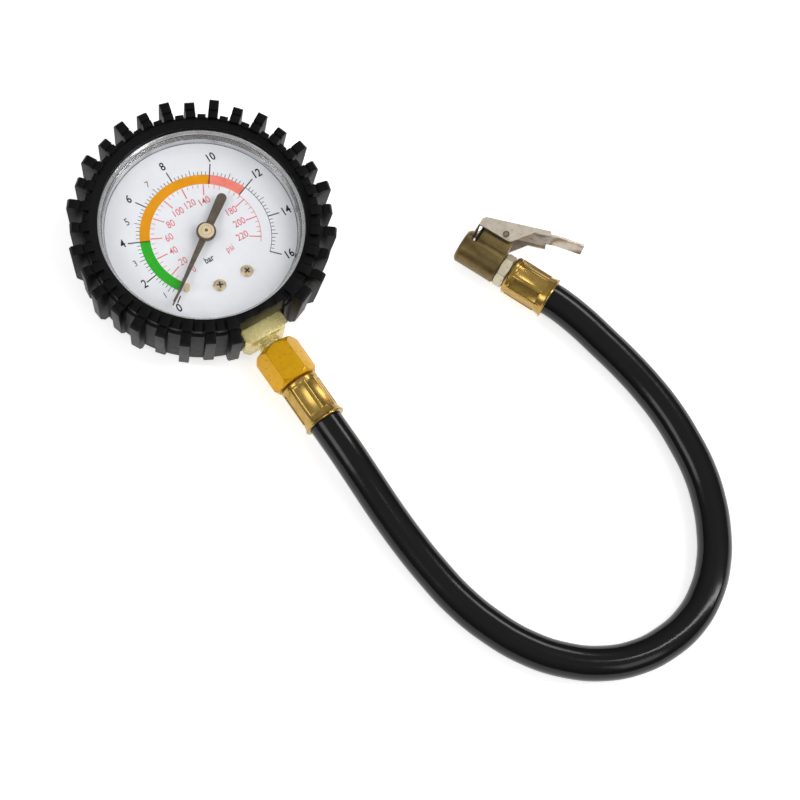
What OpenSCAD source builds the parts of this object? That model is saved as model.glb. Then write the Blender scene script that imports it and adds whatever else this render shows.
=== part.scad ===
// Hand-held tyre pressure gauge: an 80 mm class dial gauge in a lugged rubber
// boot, a short rubber hose and a clip-on tyre chuck with a squeeze lever.
// Millimetres, +Z up. The gauge lies on its back on Z = 0 with its dial facing
// up, centred on the Z axis, and its stem points along -Y, turned a little to
// +X. The hose and the chuck lie on the same surface, with the chuck's axis
// level.

/* [Boot] */
// How far the boot's front lip reaches in over the case's edge
lip_overlap = 0.4; // [0.3:0.1:1.2]
// Thickness of the boot's side wall
boot_wall_t = 4.85; // [3.85:0.25:5.85]
// How far the gauge's shell sits to the left of the pointer's axis
shell_left = 0.6; // [0:0.1:1]
// How far the gauge's shell sits above the pointer's axis
shell_up = 2.2; // [0:0.1:2.6]
// Height of the boot's front lip above the surface it lies on
boot_lip_z = 27; // [26.8:0.1:28]
// Thickness of the boot's front lip
boot_lip_t = 1.4; // [1:0.1:1.4]
// Thickness of the boot's closed back
boot_back_t = 2.5; // [2.4:0.1:2.6]
// Number of tread lugs round the boot
lug_count = 30; // [22:2:32]
// Angle between the two lugs beside the stem
lug_gap_angle = 37.5; // [35:0.5:45]
// Width of a lug
lug_w = 3.6; // [2.8:0.1:4]
// Width of the wide lug on the right of the stem
wide_lug_w = 6; // [3.6:0.2:6.4]
// How far a long lug stands out of the side wall
lug_reach = 5.6; // [3:0.2:6.5]
// How much less a short lug stands out
lug_short_by = 1.3; // [0:0.1:2]
// How far the lugs stand above the front lip
lug_rise = 2; // [0.8:0.2:3]
// Plain width of lip between the window and the lugs, at the sides
lug_margin = 2.2; // [2:0.2:5]
// How far the ring of the lugs' inner ends sits above the window's centre
lug_ring_up = 1.3; // [0:0.1:1.4]
// Width of the low pads between the lugs
gap_pad_w = 3; // [2:0.2:3.2]
// How far the row of lugs is turned round the shell
lug_turn = 3; // [-4:0.5:4]

/* [Case] */
// Outer radius of the steel case
case_r = 38; // [38:0.05:38.1]
// Wall thickness of the case
case_t = 0.8; // [0.6:0.1:0.9]
// Height of the case's front edge
case_top_z = 21; // [20:0.25:21.5]
// Thickness of the clear lens
lens_t = 1.2; // [0.8:0.1:1.4]
// Width of the ring that holds the lens
lens_rim = 1.1; // [1:0.1:1.6]

/* [Dial and pointer] */
// Distance between the dial plate's edge and the case's outside
dial_margin = 3; // [2.9:0.1:4]
// Height of the dial's printed face
dial_z = 18.5; // [18:0.1:18.8]
// Thickness of the dial plate
dial_t = 0.5; // [0.3:0.1:0.6]
// Direction in which the pointer rests, from +X
zero_angle = 217; // [215:1:219]
// How much shorter the pointer is than the dial's radius
pointer_short_by = 4; // [3:0.5:8]
// Length of the pointer's tail
pointer_tail_r = 16.5; // [12:0.5:18]
// Thickness of the pointer blade
pointer_t = 0.4; // [0.3:0.1:0.6]
// Height of the pointer blade over the dial
pointer_gap = 2.6; // [2.2:0.1:3]
// Half the distance between the dial screws
dial_screw_x = 5.7; // [5.4:0.1:6.4]
// Distance of the dial screws below the dial's centre
dial_screw_y = 19.5; // [18.5:0.1:20]

/* [Movement] */
// Module of the movement's gear teeth
gear_module = 0.3; // [0.29:0.005:0.31]
// Number of pinion teeth
pinion_teeth = 12; // [12:1:13]
// Number of teeth on the sector's full circle
sector_teeth = 72; // [72:1:74]
// Length of the sector's tail
tail_len = 5; // [4.6:0.1:5.2]
// Radius of the pointer arbor
arbor_r = 0.8; // [0.6:0.05:0.9]
// Thickness of the movement plates
plate_t = 1; // [0.8:0.1:1.2]
// Mean radius of the Bourdon tube's curve
tube_curve_r = 24; // [23.6:0.1:24.6]
// Radial thickness of the flattened Bourdon tube
tube_w = 3.2; // [2.6:0.1:3.4]
// Height of the flattened Bourdon tube
tube_h = 7.6; // [6.6:0.2:7.8]
// Wall thickness of the Bourdon tube
tube_t = 0.5; // [0.3:0.1:0.7]

/* [Stem] */
// Height of the stem's axis
stem_z = 11.5; // [11.2:0.1:11.8]
// Width of the square stem block
block_w = 17; // [13:0.2:17]
// Thickness of the square stem block
block_h = 12; // [10:0.2:12]
// How far the block stands out of the boot's side wall
block_out = 3.2; // [3:0.2:5]
// Radius of the threaded neck
neck_r = 4.7; // [4:0.1:5]
// Width across flats of the hexagonal adapter
nut_af = 15.4; // [14:0.2:17]
// Length of the hexagonal adapter
nut_len = 15.2; // [13.6:0.2:16]
// Bare length of neck between the block and the adapter
neck_bare = 4; // [2.5:0.1:4.5]
// Angle by which the stem leans to the right of the gauge
stem_turn = 2.6; // [0:0.2:3]
// Angle of the adapter's hexagon round the stem
nut_turn = 7; // [0:1:30]

/* [Hose and ferrules] */
// Outer diameter of the hose
hose_d = 12.7; // [12:0.1:13]
// Bore of the hose
hose_bore = 6.4; // [6:0.1:6.8]
// Outer radius of a ferrule's middle
ferrule_r = 7.15; // [7.05:0.05:7.4]
// Radius of a ferrule's flared rim
ferrule_rim_r = 8; // [7.8:0.05:8.1]
// Length of a ferrule
ferrule_len = 17.5; // [15:0.5:18]
// Number of crimped flutes round a ferrule
flute_count = 8; // [6:1:9]
// Depth of a crimped flute
flute_depth = 0.3; // [0.2:0.05:0.35]
// Height of the ribs between the flutes
rib_h = 0.35; // [0.1:0.05:0.5]

/* [Chuck] */
// Radius of the chuck body
chuck_r = 6.5; // [6.3:0.1:6.8]
// Length of the chuck body
chuck_len = 16.9; // [16.3:0.1:18]
// Radius of the chuck's mouth, for a tyre valve
mouth_r = 4.1; // [4:0.05:4.2]
// Half the width of the chuck body's flats
flat_h = 5.6; // [5.3:0.1:5.7]
// Width across flats of the chuck's hexagonal collar
collar_af = 11.4; // [10.5:0.1:12.4]
// Length of the chuck's hexagonal collar
collar_len = 3.8; // [3:0.1:4.5]
// Turn of the collar's hexagon about the chuck's axis
collar_turn = -18; // [-30:1:30]
// Radius of the lever's pivot pin
pin_r = 1; // [0.9:0.05:1.4]
// Thickness of the lever's sheet metal
lever_t = 0.8; // [0.6:0.05:0.9]
// Half the height of the lever's handle strip
handle_h = 4; // [3:0.1:4.6]
// Wire diameter of the lever's return spring
spring_wire = 0.7; // [0.5:0.05:0.8]

/* [Hidden] */
$fn = 96;
// Clearances: running fits, sealed or seated faces, and small gaps
run_gap = 0.05;
seat_gap = 0.1;
free_gap = 0.3;

// Boot
boot_in_r = case_r + 0.15;
boot_wall_r = boot_in_r + boot_wall_t;
boot_window_r = case_r - lip_overlap;
boot_in_top_z = boot_lip_z - boot_lip_t;
lug_top_z = boot_lip_z + lug_rise;
lug_foot_z = 3.5;
lug_foot_in = 1.6;
lug_chamfer = 3.6;
lug_pitch = (360 - lug_gap_angle) / (lug_count - 1);
first_lug_angle = 270 + lug_gap_angle / 2 + lug_turn;
step_r = boot_wall_r - 1;
step_drop = 2.6;
stem_notch_w = block_w + 1.2;
notch_in_y = boot_in_r - shell_up - 2;
notch_top_y = boot_in_r - shell_up + 2.3;
pad_count = 3;
groove_w = 0.8;
vent_y = 14;
case_screw_x = 4.5;
case_screw_y = -14.5;
case_screw_head_r = 2.6;
case_screw_r = 1.5;

// Case and window
bezel_top_z = boot_in_top_z - seat_gap;
lens_z = bezel_top_z - lens_t - 0.1;
case_back_z = boot_back_t + seat_gap;
case_floor_z = case_back_z + case_t;
lens_r = case_r - lens_rim;
dial_r = case_r - dial_margin;
pointer_tip_r = dial_r - pointer_short_by;

// Movement heights, from the back of the case upwards
tongue_z = case_floor_z + seat_gap;
back_plate_z = 6.8;
tongue_t = back_plate_z - tongue_z;
front_plate_z = dial_z - dial_t - 2 - plate_t;
sector_z = back_plate_z + plate_t + 2;
sector_t = 1;
link_z = sector_z + sector_t + free_gap;
link_t = 0.5;
hairspring_z = link_z + 1.4;
plate_x = 6.5;
plate_top_y = 4.5;
plate_bottom_y = -17;
pillar_r = 1;
pillars = [[-5, 3], [5, 3], [-5, -15.3], [5, -15.3]];
boss_r = 1.9;
movement_screw_x = 4.2;
movement_screw_y = -9.8;
movement_screw_r = 0.75;

// Gearing: the pinion sits on the arbor at the centre, the sector below it
gear_ratio = sector_teeth / pinion_teeth;
pinion_r = gear_module * pinion_teeth / 2;
sector_r = gear_module * sector_teeth / 2;
gear_distance = pinion_r + sector_r;
pointer_sweep = 262;

// Pointer's blade, and the stop pin that it rests against
blade_hub_w = 1.35;
blade_tip_w = 0.25;
stop_pin_r = 1.1;
stop_r = 22.5;
blade_stop_w = blade_hub_w + (blade_tip_w - blade_hub_w) * stop_r / pointer_tip_r;
stop_angle = zero_angle + asin((stop_pin_r + blade_stop_w + seat_gap) / stop_r);
sector_sweep = pointer_sweep / gear_ratio;
sector_spare = 8;
addendum = 0.8 * gear_module;
dedendum = 1.2 * gear_module;
tooth_pitch_angle = 360 / sector_teeth;
tail_angle = 0;
tail_x = tail_len * cos(tail_angle);
tail_y = -gear_distance + tail_len * sin(tail_angle);

// Bourdon tube: it starts on the left of the stem block and runs clockwise
tube_root_angle = 270 - asin((block_w / 2 + seat_gap) / (tube_curve_r - tube_w / 2));
tip_cap_angle = 4;
tip_eye_angle = 12;
tip_eye_r = tube_curve_r - tube_w / 2 - 3.7;
tube_tip_angle = tip_eye_angle + tip_cap_angle / 2;
tube_z = stem_z;

// Link: it joins the sector's tail to the eye at the tube's tip
tip_eye = tip_eye_r * [cos(tip_eye_angle), sin(tip_eye_angle)];
link_run = tip_eye - [tail_x, tail_y];
link_len = norm(link_run);
link_angle = atan2(link_run[1], link_run[0]);

// Stem, measured outwards along -Y
block_end = boot_wall_r - shell_up + block_out;
block_chamfer = 1.6;
thread_pitch = 1.1;
thread_depth = 0.4;
stem_pivot = block_end - 6;
nut_start = block_end + neck_bare;
nut_end = nut_start + nut_len;
neck_end = nut_start + 7.3;
washer_t = 1;
flange_t = 1.2;
small_bore_r = hose_bore / 2 + seat_gap;
air_bore_r = 1.8;
ferrule_gap = 0.3;
ferrule_start = nut_end + ferrule_gap;
ferrule_end = ferrule_start + ferrule_len;
ferrule_wall_t = 1.2;
barb_r = hose_bore / 2;
hose_r = hose_d / 2;

// Chuck, in its own axes: X along the bore from the mouth, Y to the lever
mouth_x = 83.8;
mouth_y = -46.1;
chuck_dir = -64;
chuck_z = ferrule_rim_r;
mouth_len = 2.2;
claw_x = 3.5;
claw_in_r = 3.4;
slot_x = 2.3;
slot_end_x = 4.6;
slot_floor_y = 1;
pivot_x = 12.4;
pivot_y = 9.9;
lug_top_r = 2.6;
spring_gap_h = 2.5;
ear_in_h = flat_h + seat_gap;
ear_out_h = ear_in_h + lever_t;
web_angle = 21;
web_bend = 7;
web_start = [claw_x + 0.1, 12.2];
flange_run = 24;
seam_run = 27.5;
handle_run = 37.5;
seal_x = 6.2;
seal_t = 2.2;
seal_r = 4.8;
spigot_r = 3.6;
relief_r = 4.6;
spigot_x = seal_x + seal_t + 1.3 + seat_gap;
collar_x = chuck_len + seat_gap;
collar_end_x = collar_x + collar_len;
chuck_ferrule_x = collar_end_x + ferrule_gap;
chuck_ferrule_end = chuck_ferrule_x + ferrule_len;

// Return spring round the pivot pin: one leg on the body, one under the lever
spring_turns = 3;
spring_r = pin_r + 0.35 + spring_wire / 2;
spring_last_angle = web_angle + 118;
spring_pitch = (2 * spring_gap_h - spring_wire - 2 * seat_gap) / (spring_turns + 0.4);
spring_floor_y = pivot_y - spring_r - spring_wire / 2 - run_gap;
spring_foot_len = 3.4;
spring_arm_len = 4.5;

// Hose route: it leaves both ferrules straight and lies on the surface between
hose_lie_z = hose_r + 0.05;
function chuck_point(x) = [
    mouth_x + x * cos(chuck_dir),
    mouth_y + x * sin(chuck_dir),
    chuck_z
];
function stem_point(from) = [
    (from - stem_pivot) * sin(stem_turn),
    -stem_pivot - (from - stem_pivot) * cos(stem_turn),
    stem_z
];
hose_route = concat(
    [
        stem_point(ferrule_end),
        stem_point(ferrule_end + hose_d / 2),
        stem_point(ferrule_end + hose_d)
    ],
    [
        [3.1, -107.5, 10.3], [3.8, -120, 8.6], [4.9, -132.5, 7.2],
        [6.6, -146, 6.5], [9.2, -160, hose_lie_z], [14, -174, hose_lie_z],
        [21, -187, hose_lie_z], [30, -197.5, hose_lie_z], [41, -205.5, hose_lie_z],
        [53, -210, hose_lie_z], [65, -211, hose_lie_z], [77, -209, hose_lie_z],
        [88, -203.5, hose_lie_z], [97, -195.5, hose_lie_z], [104, -185.5, hose_lie_z],
        [109, -175, hose_lie_z], [112.3, -164, hose_lie_z], [113.9, -152, hose_lie_z],
        [114.4, -140, hose_lie_z], [113.5, -128, hose_lie_z], [111.4, -116, 6.8],
        [108.6, -104.5, 7.3], [105.8, -94, 7.8]
    ],
    [
        chuck_point(chuck_ferrule_end + hose_d / 4),
        chuck_point(chuck_ferrule_end)
    ]
);
hose_sides = 12;

// ---------- placing and shared shapes ----------

// Places a piece whose own +Z runs outwards along the stem's leaning axis
module on_stem(from = 0) {
    translate([0, -stem_pivot, stem_z]) rotate([0, 0, stem_turn])
        translate([0, stem_pivot - from, 0]) rotate([90, 0, 0]) children();
}

// Places a piece made in the chuck's own axes
module on_chuck(x = 0) {
    translate([mouth_x, mouth_y, chuck_z])
        rotate([0, 0, chuck_dir])
            translate([x, 0, 0]) children();
}

// Turns a piece whose own +Z is its axis to run along the chuck's bore
module along_bore(x = 0) {
    on_chuck(x) rotate([0, 90, 0]) children();
}

// Places the parts of the shell, which is set off from the pointer's axis
module on_shell() {
    translate([-shell_left, shell_up, 0]) children();
}

// A round tube with its axis along +Z
module pipe(outer_r, inner_r, height) {
    difference() {
        cylinder(r = outer_r, h = height);
        translate([0, 0, -1]) cylinder(r = inner_r, h = height + 2);
    }
}

// A hexagonal bar with both ends turned down to a chamfer
module hex_bar(across_flats, height, chamfer, turn) {
    corner_r = across_flats / 2 / cos(30);
    face_r = across_flats / 2 - 0.1;
    intersection() {
        rotate([0, 0, turn]) cylinder(r = corner_r, h = height, $fn = 6);
        rotate_extrude() polygon([
            [0, 0], [face_r, 0], [corner_r + 0.1, chamfer],
            [corner_r + 0.1, height - chamfer], [face_r, height], [0, height]
        ]);
    }
}

// A pan-head screw, head up, with its head's underside at Z = 0
module screw(head_r, head_h, shank_r, shank_len) {
    slot_w = head_r * 0.3;
    difference() {
        union() {
            translate([0, 0, -shank_len]) cylinder(r = shank_r, h = shank_len + 0.1);
            rotate_extrude() polygon([
                [0, 0], [head_r, 0], [head_r, head_h * 0.5],
                [head_r * 0.7, head_h], [0, head_h]
            ]);
        }
        for (turn = [0, 90]) rotate([0, 0, turn])
            translate([-head_r * 0.55, -slot_w / 2, head_h * 0.5])
                cube([head_r * 1.1, slot_w, head_h]);
    }
}

// Teeth of a gear as a closed outline, from one angle on round to another
function tooth_points(teeth, pitch_r, first, count) = [
    for (i = [0 : count - 1])
        let (step = 360 / teeth, at = first + i * step, root_r = pitch_r - dedendum,
            tip_r = pitch_r + addendum, half = step * 0.19, tip_half = step * 0.08,
            root_half = step * 0.26)
            for (p = [[root_r, -root_half], [pitch_r, -half], [tip_r, -tip_half],
                    [tip_r, tip_half], [pitch_r, half], [root_r, root_half]])
                p[0] * [cos(at + p[1]), sin(at + p[1])]
];

// ---------- boot, case and window ----------

// Radius at which a lug or pad at this angle starts
function lug_start_r(angle) = boot_window_r + lug_margin + lug_ring_up * sin(angle);

// Outline of one tread lug, in the plane through the gauge's axis
module lug_outline(reach, start_r) {
    tip_r = boot_wall_r + reach;
    polygon([
        [boot_in_r + 1, boot_back_t + 1], [boot_wall_r, lug_foot_z],
        [tip_r - lug_foot_in - 2, lug_foot_z], [tip_r - lug_foot_in, lug_foot_z + lug_chamfer],
        [tip_r, lug_top_z - 1.2], [tip_r - 0.8, lug_top_z], [start_r, lug_top_z],
        [start_r, boot_lip_z - 1.5]
    ]);
}

module tread_lug(angle, reach, width) {
    rotate([90, 0, angle])
        translate([0, 0, -width / 2])
            linear_extrude(height = width) lug_outline(reach, lug_start_r(angle));
}

// One low pad on the lip, between two lugs or above the stem
module lip_pad(angle, width) {
    start_r = lug_start_r(angle);
    rotate([0, 0, angle]) translate([start_r, -width / 2, boot_lip_z - 1])
        cube([boot_wall_r - 0.4 - start_r, width, 1.8]);
}

// The groove that parts the lugs' inner ends from their outer blocks
module lip_groove() {
    groove_r = boot_wall_r + 0.3;
    rotate_extrude() polygon([
        [groove_r, lug_top_z + 1], [groove_r, lug_top_z - groove_w],
        [groove_r + groove_w, lug_top_z - groove_w], [groove_r + groove_w, lug_top_z + 1]
    ]);
}

module boot() color("#2b2b2c") {
    pocket_z = case_back_z - 1.4;
    difference() {
        on_shell() union() {
            rotate_extrude() polygon([
                [0, 0], [boot_wall_r - 2.5, 0], [boot_wall_r, 2.5],
                [boot_wall_r, boot_lip_z - step_drop - 1],
                [step_r, boot_lip_z - step_drop],
                [step_r, boot_lip_z - 0.6], [step_r - 0.6, boot_lip_z],
                [boot_window_r, boot_lip_z],
                [boot_window_r, boot_in_top_z], [boot_in_r, boot_in_top_z],
                [boot_in_r, boot_back_t], [0, boot_back_t]
            ]);
            for (i = [0 : lug_count - 1])
                tread_lug(
                    first_lug_angle + i * lug_pitch,
                    lug_reach - ((i + 1) % 2) * lug_short_by,
                    i == 0 ? wide_lug_w : lug_w
                );
            for (i = [1 : lug_count - 2])
                lip_pad(first_lug_angle + (i + 0.5) * lug_pitch, gap_pad_w);
            for (i = [1 : pad_count])
                lip_pad(first_lug_angle - lug_gap_angle * i / (pad_count + 1), lug_w);
        }
        on_shell() lip_groove();
        translate([-stem_notch_w / 2, -block_end - 3, stem_z - block_h / 2 - 0.6])
            cube([stem_notch_w, block_end + 3 - notch_in_y, block_h + 1.2]);
        translate([-stem_notch_w / 2, -block_end - 3, stem_z])
            cube([stem_notch_w, block_end + 3 - notch_top_y, boot_lip_z]);
        for (s = [-1, 1]) translate([s * case_screw_x, case_screw_y, pocket_z])
            cylinder(r = case_screw_head_r + 0.4, h = 5);
        translate([0, vent_y, pocket_z]) cylinder(r = 6.4, h = 5);
        translate([0, vent_y, -1]) cylinder(r = 4, h = 5);
    }
}

module case() color("#c9cbcc") {
    difference() {
        on_shell() rotate_extrude() polygon([
            [0, case_back_z], [case_r - 1.5, case_back_z], [case_r, case_back_z + 1.5],
            [case_r, case_top_z], [case_r - case_t, case_top_z],
            [case_r - case_t, case_floor_z + 1.2], [case_r - case_t - 1.2, case_floor_z],
            [0, case_floor_z]
        ]);
        translate([-block_w / 2 - seat_gap, -block_end, stem_z - block_h / 2 - seat_gap])
            cube([block_w + 2 * seat_gap, block_end - notch_in_y + 4, block_h + 2 * seat_gap]);
        for (s = [-1, 1]) translate([s * case_screw_x, case_screw_y, 0])
            cylinder(r = case_screw_r + seat_gap, h = case_floor_z + 1);
        translate([0, vent_y, 0]) cylinder(r = 5, h = case_floor_z + 1);
    }
}

module case_screws() color("#b9b9b6") {
    for (s = [-1, 1]) translate([s * case_screw_x, case_screw_y, case_back_z])
        rotate([180, 0, 0])
            screw(case_screw_head_r, 1, case_screw_r, back_plate_z - case_back_z - 0.2);
}

module blowout_plug() color("#1d1d1e") {
    translate([0, vent_y, case_back_z - 0.8]) {
        cylinder(r = 6, h = 0.7);
        cylinder(r = 4.95, h = 0.8 + case_t + 0.8);
    }
}

module bezel() color("#b4b6b8") {
    on_shell() rotate_extrude() polygon([
        [case_r, case_top_z + seat_gap], [case_r, bezel_top_z - 0.6],
        [case_r - 0.6, bezel_top_z], [lens_r + 0.1, bezel_top_z],
        [lens_r + 0.1, lens_z], [lens_r - 0.7, lens_z],
        [lens_r - 0.7, lens_z - 0.8], [dial_r + 0.9, dial_z + 1.6],
        [dial_r + 0.2, dial_z + 0.2], [dial_r + 0.2, dial_z - 0.6],
        [case_r - case_t - 0.2, dial_z - 0.6],
        [case_r - case_t - 0.2, case_top_z + seat_gap]
    ]);
}

module lens() color([0.9, 0.95, 0.97, 0.35]) {
    on_shell() translate([0, 0, lens_z + 0.05]) cylinder(r = lens_r, h = lens_t);
}

// ---------- dial and pointer ----------

module dial() color("#e4e6ea") {
    stop_hole_r = 0.8 + run_gap;
    difference() {
        on_shell() translate([0, 0, dial_z - dial_t]) cylinder(r = dial_r, h = dial_t);
        translate([0, 0, dial_z - 1]) cylinder(r = 2, h = 2);
        for (s = [-1, 1]) translate([s * dial_screw_x, -dial_screw_y, dial_z - 1])
            cylinder(r = 1.1 + run_gap, h = 2);
        rotate([0, 0, stop_angle]) translate([stop_r, 0, dial_z - 1])
            cylinder(r = stop_hole_r, h = 2);
    }
}
module dial_screws() color("#c9a468") {
    for (s = [-1, 1]) translate([s * dial_screw_x, -dial_screw_y, dial_z])
        rotate([0, 0, 20 * s]) screw(2.3, 1.1, 1.1, 4.5);
}

module stop_pin() color("#d9c49a") {
    rotate([0, 0, stop_angle]) translate([stop_r, 0, dial_z]) {
        translate([0, 0, -dial_t - 0.4]) cylinder(r = 0.8, h = dial_t + 0.5);
        cylinder(r = stop_pin_r, h = pointer_gap + 0.9);
    }
}

module pointer() color("#6b5f52") {
    hub_r = 3.6;
    blade_z = dial_z + pointer_gap;
    difference() {
        rotate([0, 0, zero_angle]) translate([0, 0, blade_z]) {
            linear_extrude(height = pointer_t) {
                polygon([
                    [pointer_tip_r, blade_tip_w], [pointer_tip_r, -blade_tip_w],
                    [0, -blade_hub_w], [0, blade_hub_w]
                ]);
                polygon([
                    [0, -1.3], [0, 1.3], [-pointer_tail_r + 4, 1.8], [-pointer_tail_r + 1.8, 1.8],
                    [-pointer_tail_r + 1.8, -1.8], [-pointer_tail_r + 4, -1.8]
                ]);
                translate([-pointer_tail_r + 1.8, 0]) circle(r = 1.8);
            }
            cylinder(r = hub_r, h = pointer_t + 0.6);
            translate([0, 0, -1.2]) cylinder(r = 1.7, h = 1.3);
        }
        translate([0, 0, dial_z]) cylinder(r = arbor_r, h = 10);
    }
}

module pointer_cap() color("#ead3ae") {
    cap_z = dial_z + pointer_gap + pointer_t + 0.6;
    difference() {
        translate([0, 0, cap_z]) rotate_extrude() polygon([
            [0, 0], [2.9, 0], [2.9, 0.5], [2.5, 0.9], [0, 0.9]
        ]);
        translate([0, 0, cap_z - 1]) cylinder(r = arbor_r, h = 1.5);
    }
}

// ---------- movement ----------

module pinion() color("#d8b56a") {
    arbor_top = dial_z + pointer_gap + pointer_t + 1.1;
    cylinder_z = back_plate_z + 0.2;
    translate([0, 0, cylinder_z]) cylinder(r = arbor_r, h = arbor_top - cylinder_z);
    translate([0, 0, sector_z - 0.5]) linear_extrude(height = sector_t + 1)
        polygon(tooth_points(pinion_teeth, pinion_r, 270 + 180 / pinion_teeth, pinion_teeth));
}

module sector_gear() color("#c7a254") {
    tooth_count = ceil((sector_sweep + sector_spare) / tooth_pitch_angle);
    first = 90 - (tooth_count - 1 - round(sector_spare / 2 / tooth_pitch_angle)) * tooth_pitch_angle;
    translate([0, -gear_distance, 0]) {
        difference() {
            union() {
                translate([0, 0, sector_z]) linear_extrude(height = sector_t) {
                    polygon(concat([[0, 0]],
                        tooth_points(sector_teeth, sector_r, first, tooth_count)));
                    circle(r = 2);
                    rotate([0, 0, tail_angle]) translate([0, -1]) square([tail_len, 2]);
                    rotate([0, 0, tail_angle]) translate([tail_len, 0]) circle(r = 1.1);
                }
                translate([0, 0, back_plate_z + 0.2])
                    cylinder(r = 0.7, h = front_plate_z + plate_t - back_plate_z - 0.4);
            }
            rotate([0, 0, (first + 90) / 2])
                translate([6, 0, sector_z - 1]) cylinder(r = 1.8, h = sector_t + 2);
            rotate([0, 0, tail_angle])
                translate([tail_len, 0, sector_z - 1]) cylinder(r = 0.5, h = sector_t + 2);
        }
    }
}

module link() color("#b9b3a4") {
    translate([tail_x, tail_y, 0]) {
        translate([0, 0, link_z]) linear_extrude(height = link_t) {
            circle(r = 1);
            rotate([0, 0, link_angle]) translate([0, -0.7]) square([link_len, 1.4]);
            rotate([0, 0, link_angle]) translate([link_len, 0]) circle(r = 1);
        }
        translate([0, 0, sector_z - 0.2]) cylinder(r = 0.5 - run_gap, h = link_z - sector_z + 0.3);
    }
}

// A rectangular movement plate with holes for both arbors and the pillars
module movement_plate(z) {
    translate([0, 0, z]) difference() {
        linear_extrude(height = plate_t) polygon([
            [-plate_x, plate_bottom_y + 1], [-plate_x + 1, plate_bottom_y],
            [plate_x - 1, plate_bottom_y], [plate_x, plate_bottom_y + 1],
            [plate_x, plate_top_y - 1], [plate_x - 1, plate_top_y],
            [-plate_x + 1, plate_top_y], [-plate_x, plate_top_y - 1]
        ]);
        translate([0, 0, -1]) cylinder(r = arbor_r + run_gap, h = plate_t + 2);
        translate([0, -gear_distance, -1]) cylinder(r = 0.7 + run_gap, h = plate_t + 2);
        for (at = pillars) translate([at[0], at[1], -1])
            cylinder(r = 0.6 + run_gap, h = plate_t + 2);
    }
}

module back_plate() color("#cfae63") difference() {
    movement_plate(back_plate_z);
    for (s = [-1, 1]) translate([s * movement_screw_x, movement_screw_y, back_plate_z - 1])
        cylinder(r = movement_screw_r + run_gap, h = plate_t + 2);
}

module front_plate() color("#cfae63") movement_plate(front_plate_z);

module pillars() color("#b98f45") {
    for (at = pillars) translate([at[0], at[1], 0]) {
        translate([0, 0, back_plate_z + 0.1])
            cylinder(r = 0.6, h = front_plate_z + plate_t - back_plate_z);
        translate([0, 0, back_plate_z + plate_t])
            cylinder(r = pillar_r, h = front_plate_z - back_plate_z - plate_t);
    }
}

module movement_screws() color("#a89878") {
    for (s = [-1, 1])
        translate([s * movement_screw_x, movement_screw_y, back_plate_z + plate_t])
            screw(1.4, 0.8, movement_screw_r, plate_t + 2.4);
}

module hairspring() color("#8f9aa6") {
    coils = 4;
    inner_r = arbor_r + 0.8;
    outer_r = 4.6;
    strip = 0.15;
    steps = 24 * coils;
    stud_angle = atan2(pillars[0][1], pillars[0][0]);
    translate([0, 0, hairspring_z]) linear_extrude(height = 0.6) {
        polygon([
            for (i = [0 : steps])
                let (r = inner_r + (outer_r - inner_r) * i / steps, at = stud_angle + i * 15)
                    r * [cos(at), sin(at)],
            for (i = [steps : -1 : 0])
                let (r = inner_r + strip + (outer_r - inner_r) * i / steps, at = stud_angle + i * 15)
                    r * [cos(at), sin(at)]
        ]);
    }
}

// Flat oval section of the Bourdon tube, centred on its curve's mean radius
module tube_section(inset) {
    w = tube_w - 2 * inset;
    straight = tube_h - tube_w;
    translate([tube_curve_r - w / 2, -straight / 2]) square([w, straight]);
    for (s = [-1, 1]) translate([tube_curve_r, s * straight / 2]) circle(r = w / 2, $fn = 48);
}

module bourdon_tube() color("#c8985a") {
    translate([0, 0, tube_z]) rotate([0, 0, tube_tip_angle])
        rotate_extrude(angle = tube_root_angle - tube_tip_angle) difference() {
            tube_section(0);
            tube_section(tube_t);
        }
}

module tube_tip() color("#b08a4c") {
    tab_r = tip_eye_r - 1;
    translate([0, 0, tube_z]) rotate([0, 0, tip_eye_angle - tip_cap_angle / 2])
        rotate_extrude(angle = tip_cap_angle - 0.1) tube_section(-0.2);
    translate([0, 0, link_z + link_t + free_gap]) rotate([0, 0, tip_eye_angle])
        difference() {
            translate([tab_r, -0.8, 0]) cube([tube_curve_r - tube_w / 2 - tab_r + 0.4, 1.6, 0.8]);
            translate([tip_eye_r, 0, -1]) cylinder(r = 0.45, h = 3);
        }
}

// One groove of the neck's thread, as a ring to cut away
module thread_groove() {
    rotate_extrude($fn = 48) polygon([
        [neck_r + 0.1, 0], [neck_r - thread_depth, thread_pitch * 0.35],
        [neck_r + 0.1, thread_pitch * 0.7]
    ]);
}

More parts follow.
